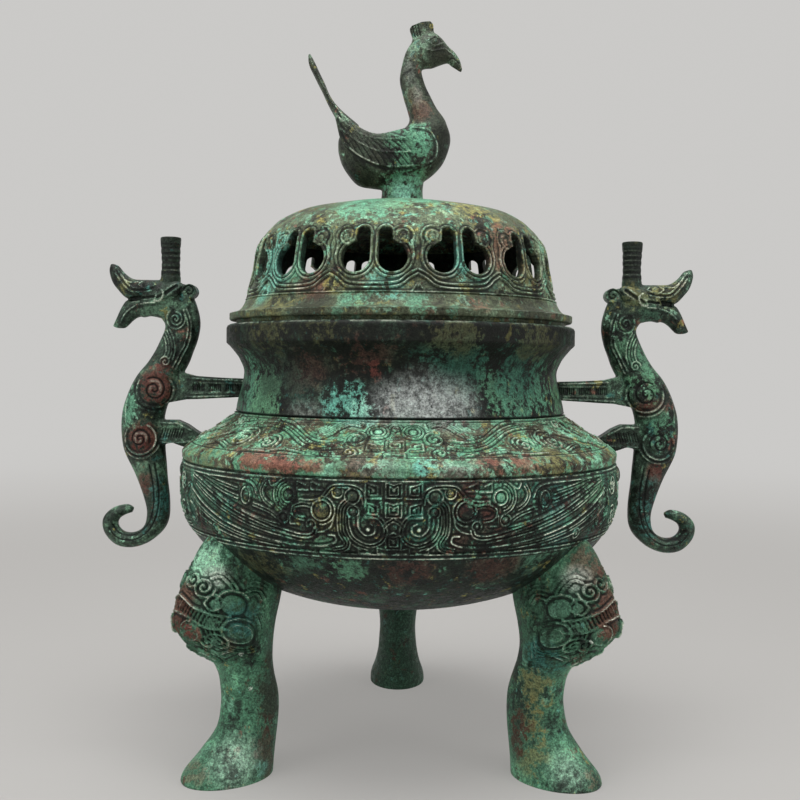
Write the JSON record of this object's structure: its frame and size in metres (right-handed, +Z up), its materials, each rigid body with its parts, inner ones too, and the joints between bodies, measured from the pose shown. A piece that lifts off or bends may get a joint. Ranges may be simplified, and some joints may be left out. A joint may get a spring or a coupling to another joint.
{
  "type": "tripod censer",
  "caption": "Patinated bronze tripod censer: round bowl on masked legs, dragon side handles and a pierced domed lid with a bird finial that lifts off to burn incense inside.",
  "frame": {"origin": "middle of the bounding box on the floor, with the vessel's own axis 5.5 mm in front of it", "axes": "+Z up along the vessel's axis, +X towards the right dragon handle, the front faces -Y"},
  "size_m": [0.2752, 0.2106, 0.3295],
  "materials": {
    "bowl_bronze": "green and black patina on cast bronze",
    "leg_bronze": "green patina with brown patches on cast bronze",
    "handle_bronze": "dark green patina with red copper spots on cast bronze",
    "lid_bronze": "pale green patina with rubbed ridges on cast bronze",
    "bird_bronze": "dark green patina on cast bronze",
    "rivet_bronze": "soot-darkened bronze"
  },
  "bodies": {
    "vessel": {"bowl": "bowl_bronze", "leg_front_left": "leg_bronze", "leg_front_right": "leg_bronze", "leg_back": "leg_bronze", "leg_rivets": "rivet_bronze", "handle_left": "handle_bronze", "handle_right": "handle_bronze", "handle_rivets": "rivet_bronze"},
    "lid": {"lid": "lid_bronze", "bird_finial": "bird_bronze", "finial_rivet": "rivet_bronze"}
  },
  "joints": [
    {"name": "lid_lift", "type": "slide", "parent": "vessel", "child": "lid", "axis": [0, 0, 1], "range_m": [0, 0.12]}
  ]
}
